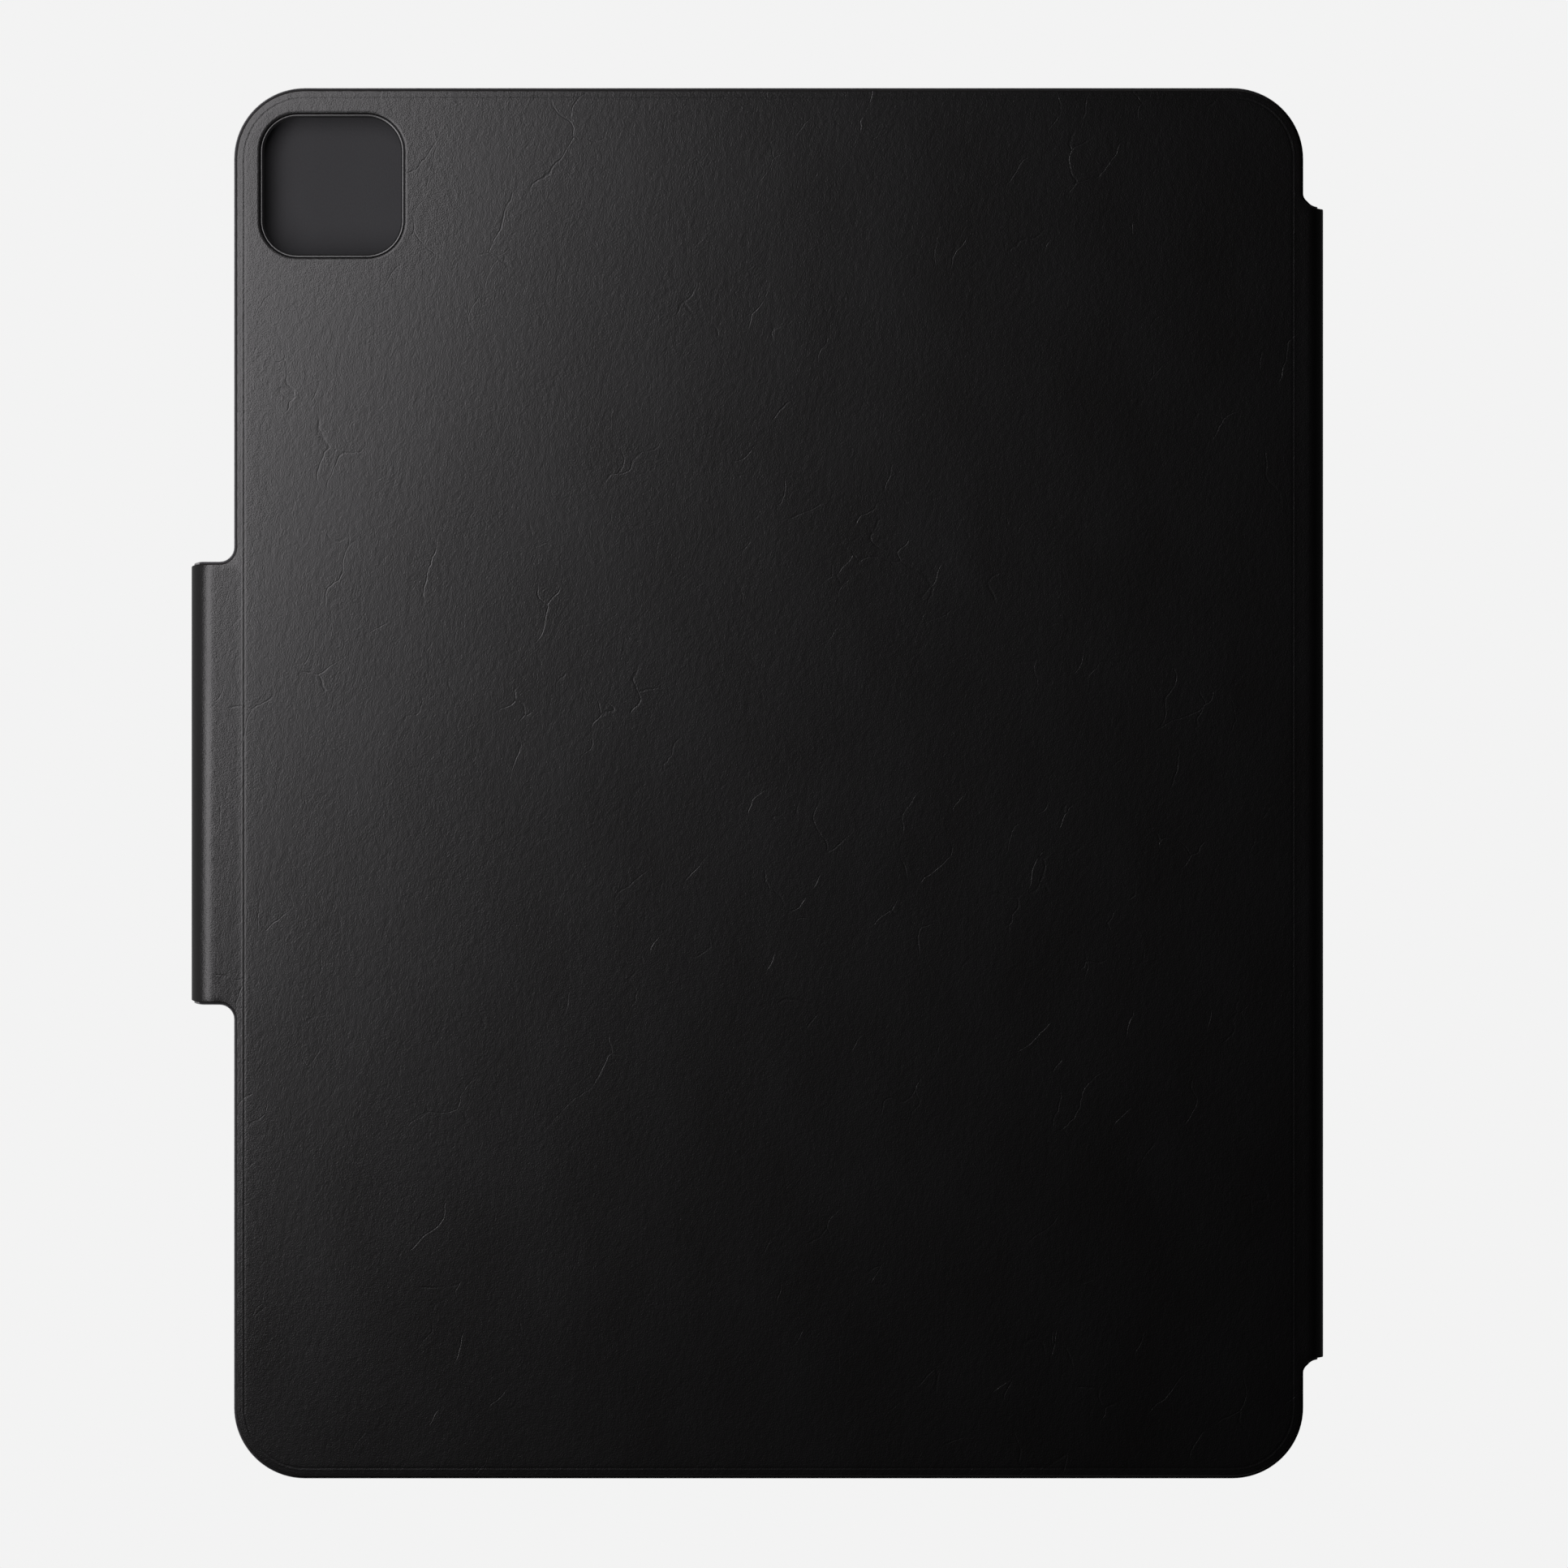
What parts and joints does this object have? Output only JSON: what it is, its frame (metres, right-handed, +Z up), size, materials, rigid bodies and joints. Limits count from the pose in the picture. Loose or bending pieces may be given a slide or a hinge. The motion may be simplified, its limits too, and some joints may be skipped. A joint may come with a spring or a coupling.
{
  "type": "tablet case",
  "caption": "Leather folio case for a large tablet, with a magnetic back panel, a camera window, a hinged folding front cover and a wrap-round stylus flap.",
  "frame": {"origin": "under the middle of the closed case, on the surface that it lies on", "axes": "+X from the stylus flap towards the spine, +Y along the spine towards the camera window's end, +Z up out of the back panel; the case lies closed on its front cover"},
  "size_m": [0.2284, 0.2804, 0.0126],
  "materials": {
    "leather": "black smooth leather with a fine creased grain, semi-matt",
    "lining": "dark grey microfibre, matt",
    "board": "glass-fibre stiffener board, matt",
    "magnet": "nickel-plated magnet, satin",
    "ring": "black moulded trim, satin"
  },
  "bodies": {
    "back_panel": {"back_leather": "leather", "back_board": "board", "back_lining": "lining", "camera_ring": "ring", "back_magnet_1": "magnet", "back_magnet_2": "magnet", "back_magnet_3": "magnet", "back_magnet_4": "magnet", "back_magnet_5": "magnet", "back_magnet_6": "magnet", "back_magnet_7": "magnet", "back_magnet_8": "magnet", "flap_neck_lining": "lining"},
    "spine": {"spine_leather": "leather", "spine_board": "board", "spine_lining": "lining", "spine_roll_leather": "leather", "spine_roll_lining": "lining", "cover_roll_leather": "leather", "cover_roll_lining": "lining"},
    "cover_inner": {"cover_inner_leather": "leather", "cover_inner_board": "board", "cover_inner_lining": "lining", "cover_inner_magnet_1": "magnet", "cover_inner_magnet_2": "magnet", "fold_inner_leather": "leather", "fold_inner_lining": "lining"},
    "cover_middle": {"cover_middle_leather": "leather", "cover_middle_board": "board", "cover_middle_lining": "lining", "fold_outer_leather": "leather", "fold_outer_lining": "lining"},
    "cover_outer": {"cover_outer_leather": "leather", "cover_outer_board": "board", "cover_outer_lining": "lining", "cover_outer_magnet_1": "magnet", "cover_outer_magnet_2": "magnet", "cover_outer_magnet_3": "magnet", "cover_outer_magnet_4": "magnet", "cover_outer_magnet_5": "magnet"},
    "flap_side": {"flap_leather": "leather", "flap_lining": "lining", "flap_roll_leather": "leather", "flap_roll_lining": "lining", "latch_roll_leather": "leather", "latch_roll_lining": "lining"},
    "flap_tongue": {"tongue_leather": "leather", "tongue_board": "board", "tongue_lining": "lining", "tongue_magnet_1": "magnet", "tongue_magnet_2": "magnet"}
  },
  "joints": [
    {"name": "spine_hinge", "type": "hinge", "parent": "back_panel", "child": "spine", "pos_m": [0.11356, 0, 0.01191], "axis": [0, -1, 0], "range_deg": [0, 180], "deforming": ["spine_roll_leather", "spine_roll_lining"]},
    {"name": "cover_hinge", "type": "hinge", "parent": "spine", "child": "cover_inner", "pos_m": [0.11356, 0, 0.00269], "axis": [0, -1, 0], "range_deg": [0, 180], "deforming": ["cover_roll_leather", "cover_roll_lining"]},
    {"name": "inner_fold", "type": "hinge", "parent": "cover_inner", "child": "cover_middle", "pos_m": [0.03615, 0, 0.00255], "axis": [0, 1, 0], "range_deg": [-119, 0], "deforming": ["fold_inner_leather", "fold_inner_lining"]},
    {"name": "outer_fold", "type": "hinge", "parent": "cover_middle", "child": "cover_outer", "pos_m": [-0.03485, 0, 0.00255], "axis": [0, 1, 0], "range_deg": [-119, 0], "deforming": ["fold_outer_leather", "fold_outer_lining"]},
    {"name": "flap_hinge", "type": "hinge", "parent": "back_panel", "child": "flap_side", "pos_m": [-0.11331, 0, 0.01166], "axis": [0, 1, 0], "range_deg": [0, 110], "deforming": ["flap_roll_leather", "flap_roll_lining"]},
    {"name": "tongue_hinge", "type": "hinge", "parent": "flap_side", "child": "flap_tongue", "pos_m": [-0.11361, 0, 0.00064], "axis": [0, 1, 0], "range_deg": [0, 90], "deforming": ["latch_roll_leather", "latch_roll_lining"]}
  ]
}
